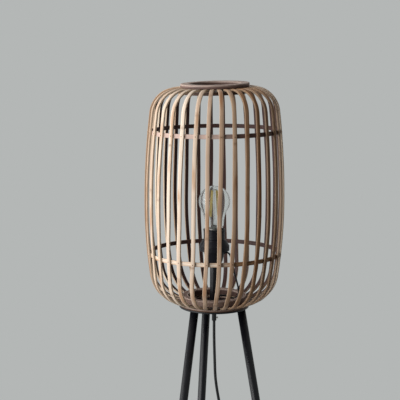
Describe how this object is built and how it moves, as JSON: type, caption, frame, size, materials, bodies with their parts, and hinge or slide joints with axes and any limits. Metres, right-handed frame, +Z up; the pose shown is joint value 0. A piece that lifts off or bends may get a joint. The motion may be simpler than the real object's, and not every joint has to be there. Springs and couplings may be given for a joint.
{
  "type": "floor lamp",
  "caption": "Floor lamp with a barrel-shaped cage of bent rattan slats on a round plate and three slanted tube legs, with a clear bulb in an open lampholder.",
  "frame": {"origin": "on the floor, in the middle of the footprint of the lamp without its free cord", "axes": "+Z up through the cage, the front is towards -Y, +X to the right when seen from the front"},
  "size_m": [0.3214, 0.322, 1.1823],
  "materials": {
    "slat": "satin split rattan with darker nodes",
    "ring": "satin brown wood",
    "hoop": "satin split rattan, dark",
    "steel": "black powder coat",
    "rubber": "matt",
    "holder": "satin black phenolic",
    "glass": "clear",
    "cap": "bright",
    "filament": "yellow phosphor",
    "cord": "black flexible sheath",
    "fitting": "black moulded",
    "button": "dark grey moulded"
  },
  "bodies": {
    "stand": {"slat_01": "slat", "slat_02": "slat", "slat_03": "slat", "slat_04": "slat", "slat_05": "slat", "slat_06": "slat", "slat_07": "slat", "slat_08": "slat", "slat_09": "slat", "slat_10": "slat", "slat_11": "slat", "slat_12": "slat", "slat_13": "slat", "slat_14": "slat", "slat_15": "slat", "slat_16": "slat", "slat_17": "slat", "slat_18": "slat", "slat_19": "slat", "slat_20": "slat", "slat_21": "slat", "slat_22": "slat", "slat_23": "slat", "slat_24": "slat", "slat_25": "slat", "slat_26": "slat", "slat_27": "slat", "slat_28": "slat", "slat_29": "slat", "slat_30": "slat", "slat_31": "slat", "slat_32": "slat", "top_cap_ring": "ring", "top_collar": "ring", "bottom_collar": "ring", "bottom_cap_ring": "ring", "upper_hoop": "hoop", "lower_hoop": "hoop", "base_plate": "steel", "leg_1": "steel", "leg_2": "steel", "leg_3": "steel", "stem_tube": "steel", "stem_nut": "steel", "cord_grip": "steel", "foot_1": "rubber", "foot_2": "rubber", "foot_3": "rubber", "lampholder_body": "holder", "inner_lead": "cord", "cord_drop": "cord", "cord_link": "cord", "cord_coil": "cord", "foot_switch": "fitting", "plug": "fitting"},
    "bulb": {"bulb_glass": "glass", "bulb_cap": "cap", "bulb_filament": "filament"},
    "shade_ring": {"shade_ring": "holder"},
    "switch_button": {"foot_switch_button": "button"}
  },
  "joints": [
    {"name": "bulb_turn", "type": "hinge", "parent": "stand", "child": "bulb", "pos_m": [-0.02397, -0.02335, 0.894], "axis": [0, 0, 1], "continuous": true},
    {"name": "shade_ring_turn", "type": "hinge", "parent": "stand", "child": "shade_ring", "pos_m": [-0.02397, -0.02335, 0.871], "axis": [0, 0, 1], "continuous": true},
    {"name": "switch_press", "type": "slide", "parent": "stand", "child": "switch_button", "axis": [0, 0, -1], "range_m": [0, 0.0025], "stiffness_N_per_m": 1500}
  ]
}
